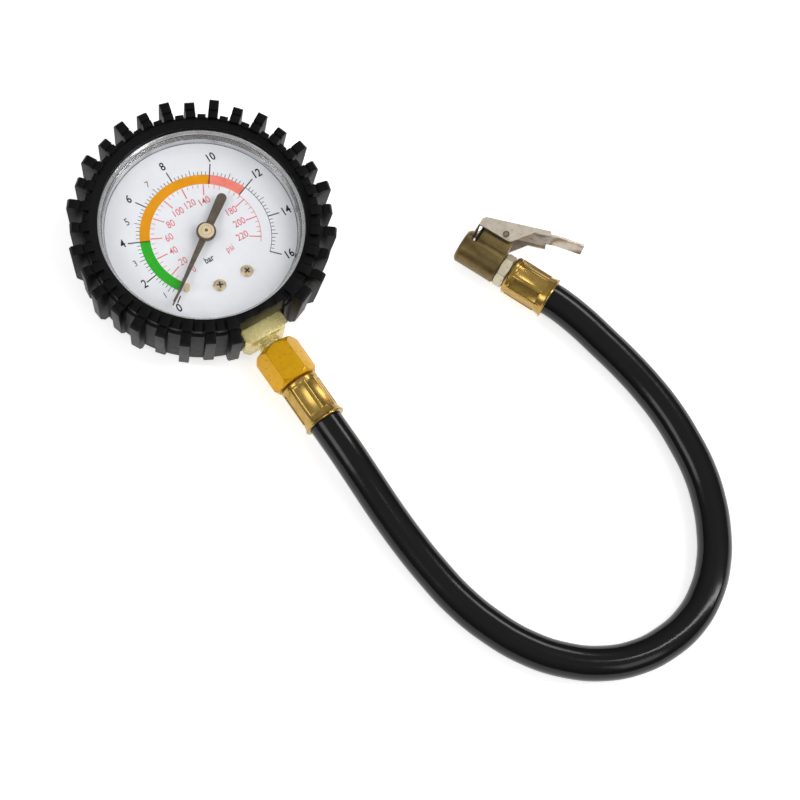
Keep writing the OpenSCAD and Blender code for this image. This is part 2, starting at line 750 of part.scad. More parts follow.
module socket() color("#d9c885") {
    root_h = tube_h + 1;
    inner_end = 21.5;
    difference() {
        union() {
            translate([0, 0, stem_z - block_h / 2]) linear_extrude(height = block_h) polygon([
                [-block_w / 2, -inner_end], [-block_w / 2, -block_end + block_chamfer],
                [-block_w / 2 + block_chamfer, -block_end],
                [block_w / 2 - block_chamfer, -block_end],
                [block_w / 2, -block_end + block_chamfer], [block_w / 2, -inner_end]
            ]);
            translate([-block_w / 2, -inner_end - 1, tongue_z])
                cube([block_w, inner_end + 1 - 7.5, tongue_t]);
            translate([0, 0, tube_z - root_h / 2]) rotate([0, 0, tube_root_angle + 0.2])
                rotate_extrude(angle = 8) translate([tube_curve_r - tube_w / 2 - 0.6, 0])
                    square([tube_w + 1.2, root_h]);
            for (s = [-1, 1]) translate([s * dial_screw_x, -dial_screw_y, tongue_z])
                cylinder(r = boss_r, h = dial_z - dial_t - tongue_z);
            on_stem(block_end - 1) cylinder(r = neck_r, h = neck_end - block_end + 1);
        }
        for (y = [block_end + 0.5 : thread_pitch : nut_start - thread_pitch])
            on_stem(y) thread_groove();
        on_stem(30) cylinder(r = 1.5, h = neck_end);
        for (s = [-1, 1]) translate([s * case_screw_x, case_screw_y, tongue_z - 1])
            cylinder(r = case_screw_r + run_gap, h = tongue_t + 2);
        for (s = [-1, 1]) translate([s * movement_screw_x, movement_screw_y, tongue_z - 1])
            cylinder(r = movement_screw_r + run_gap, h = tongue_t + 2);
        for (s = [-1, 1]) translate([s * dial_screw_x, -dial_screw_y, dial_z - dial_t - 5])
            cylinder(r = 1.1 + run_gap, h = 6);
    }
}

// ---------- stem fittings, hose ends and ferrules ----------

module seal_washer() color("#3a3a3a") {
    on_stem(neck_end) pipe(neck_r - 0.2, 2, washer_t);
}

module adapter_nut() color("#d6a21e") {
    socket_len = neck_end + washer_t + flange_t - nut_start + seat_gap;
    on_stem(nut_start) difference() {
        hex_bar(nut_af, nut_len, 2, nut_turn);
        translate([0, 0, -1]) cylinder(r = neck_r + run_gap, h = socket_len + 1);
        cylinder(r = small_bore_r, h = nut_len + 1);
    }
}

// A barbed hose insert with its shoulder at Z = 0; the barbs end inside a ferrule
module barb(start, length) {
    ring = 3;
    difference() {
        union() {
            cylinder(r = barb_r, h = length);
            for (z = [start : ring : length - ring]) translate([0, 0, z])
                cylinder(r1 = barb_r, r2 = barb_r + 0.15, h = ring - 0.5);
        }
        translate([0, 0, -1]) cylinder(r = air_bore_r, h = length + 2);
    }
}

module barb_gauge() color("#caa24a") {
    shoulder = neck_end + washer_t;
    tail_from = ferrule_start - shoulder + ferrule_wall_t + 1;
    on_stem(shoulder) {
        barb(tail_from, ferrule_end - shoulder - 1);
        pipe(neck_r - 0.1, air_bore_r, flange_t);
    }
}

// The end of the hose, crimped between a barb and a ferrule
module hose_end() {
    pipe(hose_r, barb_r + 0.2, ferrule_len - ferrule_wall_t - seat_gap);
}

module hose_end_gauge() color("#1a1a1b") {
    on_stem(ferrule_start + ferrule_wall_t + seat_gap) hose_end();
}

module hose_end_chuck() color("#1a1a1b") {
    along_bore(chuck_ferrule_x + ferrule_wall_t + seat_gap) hose_end();
}

// A crimped ferrule: a turned collar, fluted middle and flared rim. Its flutes
// are turned by a share of their own pitch.
module ferrule(turn) {
    collar = 1.8;
    rim = 2.4;
    flute_len = ferrule_len - collar - rim - 2.6;
    rib_w = 0.9;
    flute_w = 2 * PI * ferrule_r / flute_count - rib_w - 0.7;
    difference() {
        union() {
            rotate_extrude() polygon([
                [0, 0], [ferrule_r - 0.5, 0], [ferrule_r + 0.15, 0.7],
                [ferrule_r + 0.15, collar], [ferrule_r - 0.15, collar + 0.4],
                [ferrule_r - 0.15, ferrule_len - rim - 1.2],
                [ferrule_rim_r - 0.4, ferrule_len - 0.9],
                [ferrule_rim_r, ferrule_len - 0.5], [ferrule_rim_r - 0.3, ferrule_len],
                [0, ferrule_len]
            ]);
            for (i = [0 : flute_count - 1]) rotate([0, 0, (i + turn) * 360 / flute_count])
                translate([ferrule_r - 1, -rib_w / 2, collar + 0.2])
                    cube([0.85 + rib_h, rib_w, flute_len + 1.6]);
        }
        translate([0, 0, ferrule_wall_t]) cylinder(r = hose_r + run_gap, h = ferrule_len);
        translate([0, 0, -1]) cylinder(r = small_bore_r, h = ferrule_len);
        for (i = [0 : flute_count - 1]) rotate([0, 0, (i + 0.5 + turn) * 360 / flute_count])
            translate([ferrule_r - 0.15 - flute_depth, -flute_w / 2, collar + 1.3])
                cube([2, flute_w, flute_len]);
    }
}

module ferrule_gauge() color("#caa144") {
    on_stem(ferrule_start) ferrule(0);
}

module ferrule_chuck() color("#caa144") {
    along_bore(chuck_ferrule_x) ferrule(0.5);
}

// ---------- hose ----------

function unit(v) = v / norm(v);
function route_run(i) = let (last = len(hose_route) - 1)
    i == 0 ? [sin(stem_turn), -cos(stem_turn), 0]
    : i == last ? [-cos(chuck_dir), -sin(chuck_dir), 0]
    : unit(hose_route[i + 1] - hose_route[i - 1]);
function route_ring(i) =
    let (run = route_run(i), side = unit(cross(run, [0, 0, 1])), rise = cross(side, run))
        [for (k = [0 : hose_sides - 1])
            let (at = (k + 0.5) * 360 / hose_sides)
                hose_route[i] + hose_r * (cos(at) * side + sin(at) * rise)];

module hose() color("#161617") {
    rings = len(hose_route);
    n = hose_sides;
    points = [for (i = [0 : rings - 1]) each route_ring(i)];
    walls = [for (i = [0 : rings - 2]) for (k = [0 : n - 1])
        let (a = i * n + k, b = i * n + (k + 1) % n)
            each [[a, a + n, b], [b, a + n, b + n]]];
    first_end = [for (k = [1 : n - 2]) [0, k, k + 1]];
    last_end = [for (k = [1 : n - 2]) (rings - 1) * n * [1, 1, 1] + [0, k + 1, k]];
    polyhedron(points = points, faces = concat(walls, first_end, last_end));
}

// ---------- chuck ----------

module barb_chuck() color("#cfc9b4") {
    along_bore(spigot_x) {
        pipe(spigot_r, air_bore_r, collar_x - spigot_x + 0.1);
        barb(chuck_ferrule_x - spigot_x + ferrule_wall_t + 1, chuck_ferrule_end - spigot_x - 1);
        translate([0, 0, collar_x - spigot_x]) difference() {
            hex_bar(collar_af, collar_len, 0.6, collar_turn);
            translate([0, 0, -1]) cylinder(r = air_bore_r, h = collar_len + 2);
        }
    }
}

module chuck_body() color("#9c8a55") {
    mouth_chamfer = 0.9;
    lug_x = 5.6;
    on_chuck() difference() {
        union() {
            rotate([0, 90, 0]) rotate_extrude() polygon([
                [0, 0], [chuck_r - mouth_chamfer, 0], [chuck_r, mouth_chamfer],
                [chuck_r, chuck_len - 0.4], [chuck_r - 0.4, chuck_len], [0, chuck_len]
            ]);
            translate([1.8, 0, -flat_h]) cube([chuck_len - 2.3, 8.4, 2 * flat_h]);
            translate([0, 0, -flat_h]) linear_extrude(height = 2 * flat_h) polygon([
                [lug_x, 8], [pivot_x - lug_top_r, pivot_y],
                [pivot_x + lug_top_r, pivot_y], [chuck_len - 0.5, 8]
            ]);
            translate([pivot_x, pivot_y, -flat_h]) cylinder(r = lug_top_r, h = 2 * flat_h);
        }
        translate([-1, 0, 0]) rotate([0, 90, 0]) cylinder(r = mouth_r, h = 2 + mouth_len);
        translate([mouth_len, 0, 0]) rotate([0, 90, 0])
            cylinder(r = relief_r, h = seal_x - mouth_len);
        translate([seal_x - 0.1, 0, 0]) rotate([0, 90, 0])
            cylinder(r = seal_r + run_gap, h = seal_t + 0.1 + run_gap);
        translate([seal_x + seal_t, 0, 0]) rotate([0, 90, 0])
            cylinder(r = spigot_r + run_gap, h = chuck_len);
        translate([slot_x, slot_floor_y, -chuck_r - 1])
            cube([slot_end_x - slot_x, chuck_r + 4, 2 * chuck_r + 2]);
        translate([pivot_x, pivot_y, -flat_h - 1]) cylinder(r = pin_r + run_gap, h = 2 * flat_h + 2);
        translate([pivot_x - 3.6, spring_floor_y, -spring_gap_h])
            cube([10, 8, 2 * spring_gap_h]);
    }
}

module chuck_seal() color("#222223") {
    along_bore(seal_x) pipe(seal_r, 2.4, seal_t);
}

module core_depressor() color("#c9b06a") {
    disc_x = seal_x + seal_t + seat_gap;
    rod_x = 4.4;
    along_bore(disc_x) difference() {
        union() {
            cylinder(r = spigot_r - 0.05, h = 1.2);
            translate([0, 0, rod_x - disc_x]) cylinder(r = 0.9, h = disc_x - rod_x + 0.1);
        }
        for (i = [0 : 3]) rotate([0, 0, 90 * i + 45]) translate([2.4, 0, -1])
            cylinder(r = 0.8, h = 4);
    }
}

// Points along the lever's web, in the chuck's axes, at a depth under its face
function web_point(run, depth) =
    web_start + run * [cos(web_angle), sin(web_angle)]
    + depth * [sin(web_angle), -cos(web_angle)];

module lever() color("#cfc8bb") {
    seam_top = web_point(seam_run, 0);
    tip = seam_top + (handle_run - seam_run) * [cos(web_angle - web_bend), sin(web_angle - web_bend)];
    under = lever_t * [sin(web_angle - web_bend), -cos(web_angle - web_bend)];
    ear_corner = [pivot_x + 2.7, pivot_y - 1.8];
    ear_points = [
        [claw_x - 1.6, pivot_y - 2.1], [claw_x - 1.8, pivot_y + 0.5],
        web_start - [1, 0.5], web_point(0, 0), web_point(flange_run, 0),
        web_point(flange_run, 1.9), web_point(flange_run - 6.5, 1.9), ear_corner + [0.5, 0.9],
        ear_corner, ear_corner - [1.2, 0.1]
    ];
    on_chuck() difference() {
        union() {
            for (z = [-ear_out_h, ear_in_h]) translate([0, 0, z])
                linear_extrude(height = lever_t) polygon(ear_points);
            translate([0, 0, -ear_out_h]) linear_extrude(height = 2 * ear_out_h)
                polygon([
                    web_point(0, 0), web_point(flange_run, 0),
                    web_point(flange_run, lever_t), web_point(0.3, lever_t)
                ]);
            translate([0, 0, -handle_h]) linear_extrude(height = 2 * handle_h)
                polygon([
                    web_point(flange_run - 1, 0), seam_top, tip, tip + under,
                    web_point(seam_run, lever_t), web_point(flange_run - 1, lever_t)
                ]);
            translate([0, 0, -ear_out_h]) linear_extrude(height = 2 * ear_out_h)
                polygon([
                    [claw_x, pivot_y - 0.5], [claw_x, web_start[1] - 0.3], web_point(0, 0),
                    web_point(1.6, lever_t), [claw_x + lever_t, web_start[1] - 1],
                    [claw_x + lever_t, pivot_y - 0.5]
                ]);
            translate([claw_x, claw_in_r - 0.1, -flat_h + 0.4])
                cube([lever_t, pivot_y - claw_in_r - 0.1, 2 * flat_h - 0.8]);
        }
        translate([pivot_x, pivot_y, -ear_out_h - 1])
            cylinder(r = pin_r + run_gap, h = 2 * ear_out_h + 2);
        rotate([0, 90, 0]) cylinder(r = claw_in_r, h = 6);
    }
}

module lever_pin() color("#d8d2c4") {
    head_r = pin_r + 0.25;
    head_h = 0.45;
    head_z = ear_out_h + run_gap;
    on_chuck() translate([pivot_x, pivot_y, 0]) {
        translate([0, 0, -head_z]) cylinder(r = pin_r, h = 2 * head_z);
        for (s = [-1, 1]) translate([0, 0, s > 0 ? head_z : -head_z - head_h])
            cylinder(r = head_r, h = head_h);
    }
}

// Centre line of the torsion spring: a foot, the coil, and an arm
function spring_line() =
    let (steps = 8, low = spring_pitch * (spring_turns + 0.4) / 2,
        sweep = 360 * spring_turns + 270 - spring_last_angle, count = ceil(sweep * steps / 360))
        concat(
            [[spring_foot_len, -spring_r, -low], [1.2, -spring_r, -low]],
            [for (i = [0 : count])
                let (at = 270 - sweep * i / count)
                    [spring_r * cos(at), spring_r * sin(at),
                        -low + 2 * low * i / count]],
            [for (run = [1.1, spring_arm_len])
                spring_r * [cos(spring_last_angle), sin(spring_last_angle), low / spring_r]
                + run * [sin(spring_last_angle), -cos(spring_last_angle), 0]]
        );
function tube_ring(line, i, radius, sides) =
    let (last = len(line) - 1, run = unit(line[min(i + 1, last)] - line[max(i - 1, 0)]),
        side = unit(cross(run, [0, 0, 1])), rise = cross(side, run))
        [for (k = [0 : sides - 1])
            let (at = k * 360 / sides)
                line[i] + radius * (cos(at) * side + sin(at) * rise)];

module lever_spring() color("#9aa0a6") {
    line = spring_line();
    sides = 6;
    rings = len(line);
    points = [for (i = [0 : rings - 1]) each tube_ring(line, i, spring_wire / 2, sides)];
    walls = [for (i = [0 : rings - 2]) for (k = [0 : sides - 1])
        let (a = i * sides + k, b = i * sides + (k + 1) % sides)
            each [[a, a + sides, b], [b, a + sides, b + sides]]];
    first_end = [for (k = [1 : sides - 2]) [0, k, k + 1]];
    last_end = [for (k = [1 : sides - 2]) (rings - 1) * sides * [1, 1, 1] + [0, k + 1, k]];
    gaps = [for (i = [1 : rings - 2]) for (j = [i + 6 : 1 : rings - 2])
        norm(line[i] - line[j]) - spring_wire];
    echo(str("least gap between the spring's turns: ", min(gaps), " mm"));
    on_chuck() translate([pivot_x, pivot_y, 0])
        polyhedron(points = points, faces = concat(walls, first_end, last_end));
}

boot();
case();
case_screws();
blowout_plug();
bezel();
lens();
dial();
dial_screws();
stop_pin();
pointer();
pointer_cap();
pinion();
sector_gear();
link();
back_plate();
front_plate();
pillars();
movement_screws();
hairspring();
bourdon_tube();
tube_tip();
socket();
seal_washer();
adapter_nut();
barb_gauge();
hose_end_gauge();
ferrule_gauge();
hose();
ferrule_chuck();
hose_end_chuck();
barb_chuck();
chuck_body();
chuck_seal();
core_depressor();
lever();
lever_pin();
lever_spring();
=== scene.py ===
# %% [markdown]
# A tyre pressure gauge is a dial gauge in a rubber boot, a short rubber hose
# and a clip-on chuck for the tyre's valve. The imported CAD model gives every
# part its true size and place. This script loads it as a fixed frame, then
# adds the print, rounded edges and finishes that make it look real.
# Everything is in metres, with the gauge lying on its back at the origin.

# %% Load the frame
from math import atan2, cos, degrees, radians, sin

import bpy
from mathutils import Matrix, Vector


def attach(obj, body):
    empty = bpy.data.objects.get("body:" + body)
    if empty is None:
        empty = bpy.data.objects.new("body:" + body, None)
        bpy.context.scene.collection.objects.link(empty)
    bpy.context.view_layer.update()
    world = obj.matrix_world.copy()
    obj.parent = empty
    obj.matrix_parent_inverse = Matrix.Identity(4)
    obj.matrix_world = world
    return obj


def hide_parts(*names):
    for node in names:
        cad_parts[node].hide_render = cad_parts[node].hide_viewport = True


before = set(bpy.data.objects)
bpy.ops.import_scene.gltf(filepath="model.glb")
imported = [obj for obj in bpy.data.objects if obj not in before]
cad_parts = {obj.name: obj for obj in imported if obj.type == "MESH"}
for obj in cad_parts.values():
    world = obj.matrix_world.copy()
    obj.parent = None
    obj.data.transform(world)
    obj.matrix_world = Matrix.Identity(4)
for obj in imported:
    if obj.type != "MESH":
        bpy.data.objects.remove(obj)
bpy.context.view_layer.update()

MM = 0.001

# %% [markdown]
# A few small helpers do what a hand would do in the window. They drop the
# selection, pick one object, and join several into one, because an operator
# acts on all that is selected.

# %% Hand helpers
def deselect_all():
    for thing in list(bpy.context.selected_objects):
        thing.select_set(False)


def pick(thing):
    deselect_all()
    thing.select_set(True)
    bpy.context.view_layer.objects.active = thing
    return thing


def join_all(pieces):
    deselect_all()
    for piece in pieces:
        piece.select_set(True)
    bpy.context.view_layer.objects.active = pieces[0]
    bpy.ops.object.join()
    return bpy.context.active_object


def settle(piece, name, body):
    pick(piece)
    piece.name = name
    bpy.ops.object.transform_apply(location=True, rotation=True, scale=True)
    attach(piece, body)
    print(name, "faces:", len(piece.data.polygons))
    return piece


print("pieces in the frame:", len(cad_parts))

# %% [markdown]
# Shaders count in linear light, while colours are picked as web colours, so one
# function turns the one into the other. Another adds a shader node, sets its
# values and links it.

# %% Shader helpers
def linear_colour(web_hex):
    channels = [int(web_hex[i:i + 2], 16) / 255 for i in (1, 3, 5)]
    return tuple(c / 12.92 if c <= 0.04045 else ((c + 0.055) / 1.055) ** 2.4
                 for c in channels) + (1.0,)


def add_node(tree, kind, inputs=None, **settings):
    made = tree.nodes.new(kind)
    for name, value in settings.items():
        setattr(made, name, value)
    for name, value in (inputs or {}).items():
        if isinstance(value, bpy.types.NodeSocket):
            tree.links.new(value, made.inputs[name])
        else:
            made.inputs[name].default_value = value
    return made


print("orange in linear light:", [round(c, 3) for c in linear_colour("#e9a500")])

# %% [markdown]
# The camera looks down from the lower left at about seventy degrees, through
# a 99 mm lens from eighty centimetres. Its three axes are written out, because
# a matrix made from them leaves nothing to chance.

# %% Camera
LENS_MM = 99
SENSOR_MM = 36
camera_place = Vector((-0.1849, -0.2599, 0.7571))
camera_right = Vector((0.839, -0.531, 0.118)).normalized()
camera_back = Vector((-0.27, -0.217, 0.938)).normalized()
camera_up = camera_back.cross(camera_right).normalized()
camera_right = camera_up.cross(camera_back)
camera_data = bpy.data.cameras.new("view_camera")
camera_data.sensor_width = SENSOR_MM
camera_data.lens = LENS_MM
camera = bpy.data.objects.new("view_camera", camera_data)
bpy.context.scene.collection.objects.link(camera)
camera.matrix_world = Matrix((
    (camera_right.x, camera_up.x, camera_back.x, camera_place.x),
    (camera_right.y, camera_up.y, camera_back.y, camera_place.y),
    (camera_right.z, camera_up.z, camera_back.z, camera_place.z),
    (0, 0, 0, 1)))
bpy.context.scene.camera = camera
bpy.context.scene.view_settings.view_transform = "Standard"
print("camera distance:", round(camera_place.length, 3))

# %% [markdown]
# The hose joins two axes that lie at an angle to each other. The stem leans a
# little as it leaves the boot, and the chuck lies turned on the table. Two
# helpers give points on these axes, in millimetres, counted from the gauge's
# centre and from the chuck's mouth.

# %% Stem and chuck axes
STEM_AXIS_Z = 11.5
STEM_PIVOT = 38
STEM_TURN = radians(2.6)
FERRULE_END = 81
CHUCK_MOUTH = Vector((83.8, -46.1, 8))
CHUCK_TURN = radians(-64)
CHUCK_FERRULE_END = 38.6


def stem_point(along):
    return Vector(((along - STEM_PIVOT) * sin(STEM_TURN),
                   -STEM_PIVOT - (along - STEM_PIVOT) * cos(STEM_TURN), STEM_AXIS_Z))


def chuck_point(along, across=0.0, height=0.0):
    return CHUCK_MOUTH + Vector((
        along * cos(CHUCK_TURN) - across * sin(CHUCK_TURN),
        along * sin(CHUCK_TURN) + across * cos(CHUCK_TURN), height))


print("hose runs from", stem_point(FERRULE_END), "to", chuck_point(CHUCK_FERRULE_END))

# %% [markdown]
# The hose is half-inch air hose: a stiff rubber tube that leaves both ferrules
# straight, sinks to the table and lies there in one wide bend. Its route is the
# same as that of the CAD hose, so the look and the solid lie in the same place.

# %% Hose route
HOSE_DIAMETER = 12.7
TABLE_CLEARANCE = 0.05
HOSE_LIE_Z = HOSE_DIAMETER / 2 + TABLE_CLEARANCE
sinking = [(3.1, -107.5, 10.3), (3.8, -120, 8.6), (4.9, -132.5, 7.2), (6.6, -146, 6.5)]
lying = [(9.2, -160), (14, -174), (21, -187), (30, -197.5), (41, -205.5),
         (53, -210), (65, -211), (77, -209), (88, -203.5), (97, -195.5),
         (104, -185.5), (109, -175), (112.3, -164), (113.9, -152), (114.4, -140),
         (113.5, -128)]
rising = [(111.4, -116, 6.8), (108.6, -104.5, 7.3), (105.8, -94, 7.8)]
route = [stem_point(FERRULE_END + run) for run in (0, HOSE_DIAMETER / 2, HOSE_DIAMETER)]
route += [Vector(place) for place in sinking]
route += [Vector((x, y, HOSE_LIE_Z)) for x, y in lying]
route += [Vector(place) for place in rising]
route += [chuck_point(CHUCK_FERRULE_END + HOSE_DIAMETER / 4),
          chuck_point(CHUCK_FERRULE_END)]

# %% [markdown]
# A curve with a round section is the natural way to make a hose. Each point
# carries the hose's radius, and the section is a circle of one metre that this
# scales, because Blender widens a curve's box by the points' radius.

# %% Hose
hose_curve = bpy.data.curves.new("hose_cover", "CURVE")
hose_curve.dimensions = "3D"
hose_curve.bevel_depth = 1
hose_curve.bevel_resolution = 10
hose_curve.resolution_u = 8
hose_curve.use_fill_caps = True
spline = hose_curve.splines.new("BEZIER")
spline.bezier_points.add(len(route) - 1)
for point, place in zip(spline.bezier_points, route):
    point.co = place * MM
    point.radius = HOSE_DIAMETER / 2 * MM
    point.handle_left_type = point.handle_right_type = "AUTO"
hose = bpy.data.objects.new("hose_cover", hose_curve)
bpy.context.scene.collection.objects.link(hose)
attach(hose, "gauge")
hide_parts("hose")
print("hose points:", len(spline.bezier_points))

# %% [markdown]
# A product like this is shown on a white table. The table is a plain white
# floor that glows a little for the camera, for reflections and through the
# window, so it reads as white while the object's shadow stays.

# %% White table
TABLE_GLOW = 0.62
TABLE_DROP = 0.1
deselect_all()
bpy.ops.mesh.primitive_plane_add(size=6, location=(0.05, -0.1, -TABLE_DROP * MM))
floor = bpy.context.active_object
floor.name = "floor"
floor_paint = bpy.data.materials.new("white_table")
floor_paint.use_nodes = True
tree = floor_paint.node_tree
paint = tree.nodes["Principled BSDF"]
paint.inputs["Base Color"].default_value = (0.9, 0.9, 0.9, 1)
paint.inputs["Roughness"].default_value = 0.9
paint.inputs["Specular IOR Level"].default_value = 0.0
rays = add_node(tree, "ShaderNodeLightPath")
seen = add_node(tree, "ShaderNodeMath", {0: rays.outputs["Is Camera Ray"],
                                         1: rays.outputs["Is Glossy Ray"]},
                operation="MAXIMUM")
seen = add_node(tree, "ShaderNodeMath", {0: seen.outputs[0],
                                         1: rays.outputs["Is Transmission Ray"]},
                operation="MAXIMUM")
glow = add_node(tree, "ShaderNodeMath", {0: seen.outputs[0], 1: TABLE_GLOW},
                operation="MULTIPLY")
paint.inputs["Emission Color"].default_value = (1, 1, 1, 1)
tree.links.new(glow.outputs[0], paint.inputs["Emission Strength"])
floor.data.materials.append(floor_paint)
print("table:", floor.name)

# %% [markdown]
# The room round the table is pale: dim at the height of the table and brighter
# overhead. Metal needs such a slope, because its colour is what it mirrors.

# %% Room light
HORIZON_LIGHT, ZENITH_LIGHT = 0.12, 0.5
ZENITH_FROM = 0.9
world = bpy.data.worlds.new("soft_room")
world.use_nodes = True
bpy.context.scene.world = world
tree = world.node_tree
sky = add_node(tree, "ShaderNodeTexCoord").outputs["Generated"]
height = add_node(tree, "ShaderNodeSeparateXYZ", {"Vector": sky}).outputs["Z"]
room_light = add_node(tree, "ShaderNodeMapRange",
                      {"Value": height, "From Min": 0.0, "From Max": ZENITH_FROM,
                       "To Min": HORIZON_LIGHT, "To Max": ZENITH_LIGHT})
tree.links.new(room_light.outputs["Result"], tree.nodes["Background"].inputs["Strength"])
tree.nodes["Background"].inputs["Color"].default_value = (1, 1, 1, 1)
print("room:", world.name)

# %% [markdown]
# Three soft square lamps light the table from behind, from the left and from
# the front. A tall narrow strip stands at the right: on a round black hose a
# long thin lamp shows as a long thin highlight.

# %% Lamps
OBJECT_MIDDLE = (0.04, -0.08, 0)
HOSE_MIDDLE = (0.08, -0.1, 0)


def add_softbox(name, place, aim, width, height, power):
    lamp = bpy.data.lights.new(name, "AREA")
    lamp.shape = "RECTANGLE"
    lamp.size, lamp.size_y, lamp.energy = width, height, power
    held = bpy.data.objects.new(name, lamp)
    bpy.context.scene.collection.objects.link(held)
    held.location = place
    held.rotation_euler = (Vector(aim) - Vector(place)).to_track_quat("-Z", "Y").to_euler()
    print(name, "watts:", power)


add_softbox("key_softbox", (0.85, 0.25, 0.75), OBJECT_MIDDLE, 0.3, 0.3, 1.5)
add_softbox("fill_softbox", (-0.7, 0.1, 0.7), OBJECT_MIDDLE, 0.4, 0.4, 1.6)
add_softbox("front_softbox", (0.15, -0.95, 0.7), OBJECT_MIDDLE, 0.4, 0.4, 0.9)
add_softbox("tall_strip", (0.62, -0.555, 0.71), HOSE_MIDDLE, 0.05, 1.16, 3.3)

# %% [markdown]
# Each finish starts from what the real thing is. A noise pattern, sized in
# millimetres on the object's own coordinates, mixes two close colours, and a
# finer one roughens the surface. A turned piece also has fine rings, left by
# the tool. One function holds that pattern, and each finish gives its numbers.

# %% Finish pattern
WAVE_BAND = 0.31  # a wave texture of scale 1 has bands about this wide
RING_DEPTH_MM = 0.03


def make_finish(name, dark, light, patch_mm, roughness, metallic=0.0,
                grain_mm=0.3, grain_depth_mm=0.01, rough_spread=0.08, shine=0.5,
                rings_mm=0.0, rings_turn_deg=0.0):
    material = bpy.data.materials.new(name)
    material.use_nodes = True
    tree = material.node_tree
    surface = tree.nodes["Principled BSDF"]
    surface.inputs["Metallic"].default_value = metallic
    surface.inputs["Specular IOR Level"].default_value = shine
    place = add_node(tree, "ShaderNodeTexCoord").outputs["Object"]
    patches = add_node(tree, "ShaderNodeTexNoise",
                       {"Vector": place, "Scale": 1 / (patch_mm * MM), "Detail": 3.0})
    tone = add_node(tree, "ShaderNodeMix", {"Factor": patches.outputs["Fac"]},
                    data_type="RGBA")
    tone.inputs[6].default_value = linear_colour(dark)
    tone.inputs[7].default_value = linear_colour(light)
    tree.links.new(tone.outputs[2], surface.inputs["Base Color"])
    worn = add_node(tree, "ShaderNodeMapRange",
                    {"Value": patches.outputs["Fac"], "To Min": roughness - rough_spread,
                     "To Max": roughness + rough_spread})
    tree.links.new(worn.outputs["Result"], surface.inputs["Roughness"])
    grain = add_node(tree, "ShaderNodeTexNoise",
                     {"Vector": place, "Scale": 1 / (grain_mm * MM), "Detail": 2.0})
    bump = add_node(tree, "ShaderNodeBump",
                    {"Height": grain.outputs["Fac"], "Distance": grain_depth_mm * MM,
                     "Strength": 1.0})
    if rings_mm:
        along = add_node(tree, "ShaderNodeMapping", {"Vector": place})
        along.inputs["Rotation"].default_value = (0, 0, radians(-rings_turn_deg))
        rings = add_node(tree, "ShaderNodeTexWave",
                         {"Vector": along.outputs["Vector"],
                          "Scale": WAVE_BAND / (rings_mm * MM), "Distortion": 0.4},
                         bands_direction="X")
        bump = add_node(tree, "ShaderNodeBump",
                        {"Height": rings.outputs["Fac"], "Normal": bump.outputs["Normal"],
                         "Distance": RING_DEPTH_MM * MM, "Strength": 1.0})
    tree.links.new(bump.outputs["Normal"], surface.inputs["Normal"])
    return material


print("finish pattern ready")

# %% [markdown]
# The rubbers. The boot is moulded matte rubber: nearly black, with a fine
# grain and a slight bloom. The hose cover is extruded and shiny, so it has a
# smooth skin with long sharp highlights. Seals are plain dull rubber.

# %% Rubbers
moulded_rubber = make_finish("moulded_boot_rubber", "#030303", "#0b0a0a", 2.5, 0.45,
                             grain_mm=0.5, grain_depth_mm=0.06, shine=0.16)
hose_rubber = make_finish("extruded_hose_rubber", "#030304", "#070708", 12.0, 0.17,
                          grain_mm=2.5, grain_depth_mm=0.03, rough_spread=0.05,
                          shine=0.33)
seal_rubber = make_finish("black_seal_rubber", "#151516", "#202021", 3.0, 0.5)
print("rubbers:", moulded_rubber.name, hose_rubber.name, seal_rubber.name)

# %% [markdown]
# The brasses. The ferrules are pressed from bright tube, and the chuck's body
# has dulled to an olive brown. Both mirror the room, as bare metal does. The
# adapter is golden under a clear lacquer and the stem block is pale from the
# saw, so both scatter more light than they mirror and are less metallic. The
# filed edges are painted a dark brown, as painted shade along the edges.

# %% Brasses
golden_brass = make_finish("machined_golden_brass", "#dc9c02", "#fac20e", 1.5, 0.3, 0.35,
                           grain_mm=0.5, grain_depth_mm=0.003, shine=0.3)
pressed_brass = make_finish("pressed_bright_brass", "#98742c", "#cbac62", 3.0, 0.24, 0.9,
                            grain_mm=0.8, grain_depth_mm=0.006, rough_spread=0.04)
pale_brass = make_finish("sawn_pale_brass", "#e4d282", "#fff4b4", 1.2, 0.26, 0.45,
                         grain_mm=0.5, grain_depth_mm=0.012)
# painted shade: this dark brown goes on bevelled edges to stand for the shade along edges
# and between parts
edge_shade_brass = make_finish("painted_edge_shade_brass", "#2c1c05", "#553908", 0.8, 0.5, 0.3)
dull_brass = make_finish("dulled_cast_brass", "#54452c", "#8a784e", 2.5, 0.4, 1.0,
                         grain_mm=0.4, grain_depth_mm=0.03, rings_mm=0.6,
                         rings_turn_deg=-64)
print("brasses:", golden_brass.name, pressed_brass.name, pale_brass.name, dull_brass.name)

# %% [markdown]
# The white metals. The case and its reflector ring are bright steel. The lever
# is sheet steel plated with nickel, which is a little warmer, and it has fine
# lines along its length from rolling. The pointer is bronzed dark.

# %% White metals
bright_steel = make_finish("bright_pressed_steel", "#b9bcbf", "#dfe1e3", 4.0, 0.22, 1.0,
                           grain_mm=0.8, grain_depth_mm=0.004)
zinc_steel = make_finish("zinc_plated_steel", "#a9aba9", "#c9cac6", 2.0, 0.35, 1.0)
nickel_sheet = make_finish("nickel_plated_sheet", "#bfb09c", "#e8dfd0", 2.0, 0.3, 0.5,
                           grain_mm=0.8, grain_depth_mm=0.02, rings_mm=0.55,
                           rings_turn_deg=47)
nickel_brass = make_finish("nickel_plated_brass", "#cfc3a0", "#f4ecd4", 1.5, 0.3, 0.3)
pointer_metal = make_finish("bronzed_pointer_metal", "#453a30", "#75685a", 3.0, 0.35, 0.6)
cap_metal = make_finish("pale_hub_metal", "#dcc59c", "#f0dcb6", 1.5, 0.4, 0.5)
# painted shade: a darker copy of the steel for shaded ridges and the ring round the rivet
# head
ridge_steel = make_finish("shaded_ridge_steel", "#4a4139", "#7a7066", 2.0, 0.25, 1.0)
